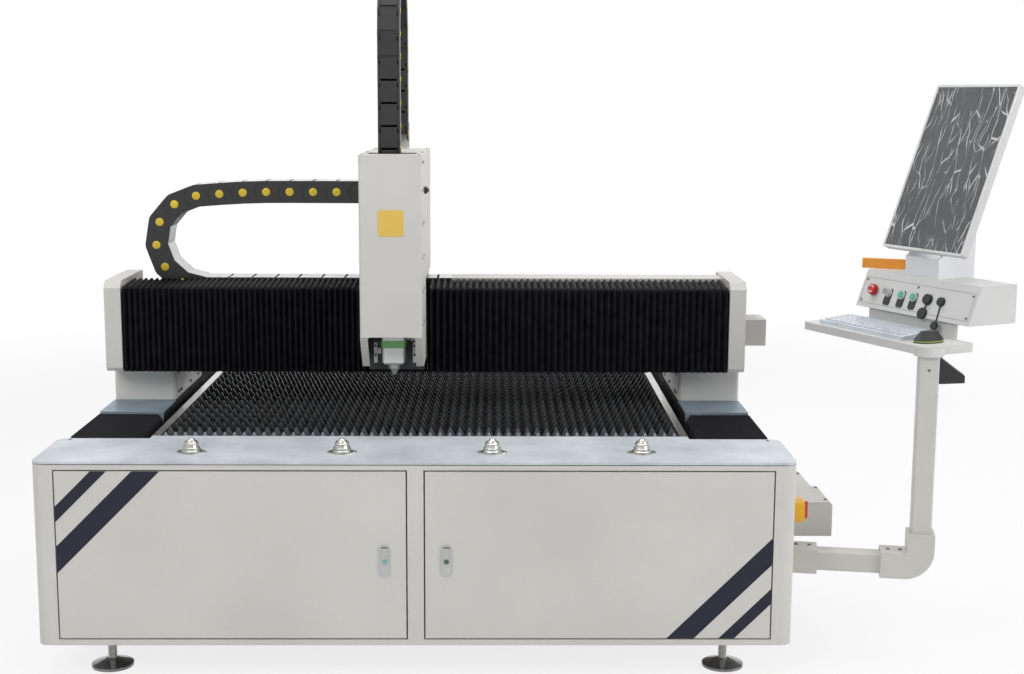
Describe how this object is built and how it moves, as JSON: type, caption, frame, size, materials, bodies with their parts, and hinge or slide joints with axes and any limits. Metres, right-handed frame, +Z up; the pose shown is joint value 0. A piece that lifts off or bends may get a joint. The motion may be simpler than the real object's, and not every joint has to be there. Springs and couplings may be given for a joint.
{
  "type": "fiber laser cutting machine",
  "caption": "Open-bed fiber laser cutter: slat table on a low cabinet, bellows-covered gantry with a cutting head, looped drag chains, and an operator console on a side arm.",
  "frame": {"origin": "on the floor under the centre of the machine's bounding box", "axes": "+X to the operator's right facing the front doors, +Y to the back along the bed, +Z up"},
  "size_m": [2.9418, 4.6044, 2.1307],
  "materials": {
    "body_paint": "satin powder coat",
    "arm_paint": "satin powder coat",
    "galvanised": "bright rolled",
    "slat_steel": "dark mill scale",
    "bright_steel": "ground",
    "bellows_cloth": "coated cloth",
    "chain_plastic": "moulded",
    "pin_yellow": "moulded",
    "head_white": "satin",
    "band_green": "anodised",
    "latch_black": "textured",
    "switch_yellow": "moulded",
    "control_red": "moulded",
    "button_green": "moulded",
    "key_metal": "polished",
    "port_black": "moulded",
    "keyboard_grey": "moulded",
    "screen_dark": "glossy",
    "grip_orange": "moulded",
    "motor_black": "satin",
    "module_aluminium": "anodised"
  },
  "bodies": {
    "bed": {"bed_frame": "body_paint", "front_cabinet": "body_paint", "front_top_plate": "galvanised", "side_panels": "body_paint", "rear_panel": "body_paint", "slat_rails": "bright_steel", "cutting_slats": "slat_steel", "ball_transfers": "bright_steel", "levelling_feet": "bright_steel", "y_guide_rails": "bright_steel", "y_bellows_front": "bellows_cloth", "y_bellows_rear": "bellows_cloth", "electrical_box": "body_paint", "switch_box": "switch_yellow", "arm_socket": "arm_paint", "arm_tube": "arm_paint", "arm_elbow": "arm_paint", "console_post": "arm_paint", "pendant_holder": "port_black"},
    "gantry": {"gantry_beam": "module_aluminium", "gantry_end_blocks": "body_paint", "bellows_end_plates": "galvanised", "y_bearing_blocks": "bright_steel", "y_servo_motors": "motor_black", "beam_end_covers": "body_paint", "x_guide_rails": "bright_steel", "x_bellows_left": "bellows_cloth", "x_bellows_right": "bellows_cloth", "cable_duct": "body_paint", "cable_outlet_box": "body_paint", "x_chain_links": "chain_plastic", "x_chain_pins": "pin_yellow"},
    "carriage": {"carriage_saddle": "module_aluminium", "z_housing": "body_paint", "z_actuator": "module_aluminium", "z_chain_links": "chain_plastic"},
    "head": {"head_slide": "module_aluminium", "cutting_head": "head_white", "head_band": "band_green", "nozzle": "bright_steel"},
    "door_left": {"door_left": "body_paint", "latch_left": "latch_black"},
    "door_right": {"door_right": "body_paint", "latch_right": "latch_black"},
    "paddle_left": {"latch_paddle_left": "latch_black"},
    "paddle_right": {"latch_paddle_right": "latch_black"},
    "main_switch": {"main_switch_knob": "control_red"},
    "console": {"keyboard_shelf": "body_paint", "button_box": "body_paint", "port_sockets": "port_black", "keyboard": "keyboard_grey", "mouse": "port_black", "monitor_stand": "body_paint", "hand_grip": "grip_orange"},
    "monitor": {"monitor_housing": "body_paint", "monitor_screen": "screen_dark"},
    "estop": {"estop_button": "control_red"},
    "key": {"key_switch": "key_metal"},
    "start": {"start_button": "button_green"},
    "stop": {"stop_button": "button_green"}
  },
  "joints": [
    {"name": "gantry_travel", "type": "slide", "parent": "bed", "child": "gantry", "axis": [0, 1, 0], "range_m": [0, 3], "deforming": ["y_bellows_front", "y_bellows_rear"]},
    {"name": "carriage_travel", "type": "slide", "parent": "gantry", "child": "carriage", "axis": [1, 0, 0], "range_m": [-0.66, 0.84], "deforming": ["x_bellows_left", "x_bellows_right", "x_chain_links", "x_chain_pins"]},
    {"name": "head_travel", "type": "slide", "parent": "carriage", "child": "head", "axis": [0, 0, 1], "range_m": [-0.12, 0.03], "deforming": ["z_chain_links"]},
    {"name": "left_door", "type": "hinge", "parent": "bed", "child": "door_left", "pos_m": [-1.39189, -2.28775, 0.38125], "axis": [0, 0, -1], "range_deg": [0, 110]},
    {"name": "right_door", "type": "hinge", "parent": "bed", "child": "door_right", "pos_m": [0.65011, -2.28775, 0.38125], "axis": [0, 0, 1], "range_deg": [0, 110]},
    {"name": "left_paddle", "type": "hinge", "parent": "door_left", "child": "paddle_left", "pos_m": [-0.45989, -2.29875, 0.401], "axis": [-1, 0, 0], "range_deg": [0, 35], "stiffness_Nm_per_rad": 0.05},
    {"name": "right_paddle", "type": "hinge", "parent": "door_right", "child": "paddle_right", "pos_m": [-0.28189, -2.29875, 0.401], "axis": [-1, 0, 0], "range_deg": [0, 35], "stiffness_Nm_per_rad": 0.05},
    {"name": "main_switch_turn", "type": "hinge", "parent": "bed", "child": "main_switch", "pos_m": [0.78811, -2.09775, 0.465], "axis": [1, 0, 0], "range_deg": [0, 90]},
    {"name": "console_swivel", "type": "hinge", "parent": "bed", "child": "console", "pos_m": [1.14568, -2.1072, 0.94], "axis": [0, 0, 1], "range_deg": [-60, 10]},
    {"name": "monitor_tilt", "type": "hinge", "parent": "console", "child": "monitor", "pos_m": [1.29183, -1.7439, 1.262], "axis": [0.4226, -0.9063, 0], "range_deg": [-10, 3]},
    {"name": "estop_press", "type": "slide", "parent": "console", "child": "estop", "axis": [0.8444, 0.3938, -0.3632], "range_m": [0, 0.005]},
    {"name": "key_turn", "type": "hinge", "parent": "console", "child": "key", "pos_m": [1.12759, -1.70297, 1.075], "axis": [-0.8444, -0.3938, 0.3632], "range_deg": [0, 90]},
    {"name": "start_press", "type": "slide", "parent": "console", "child": "start", "axis": [0.8444, 0.3938, -0.3632], "range_m": [0, 0.004], "stiffness_N_per_m": 600},
    {"name": "stop_press", "type": "slide", "parent": "console", "child": "stop", "axis": [0.8444, 0.3938, -0.3632], "range_m": [0, 0.004], "stiffness_N_per_m": 600}
  ]
}
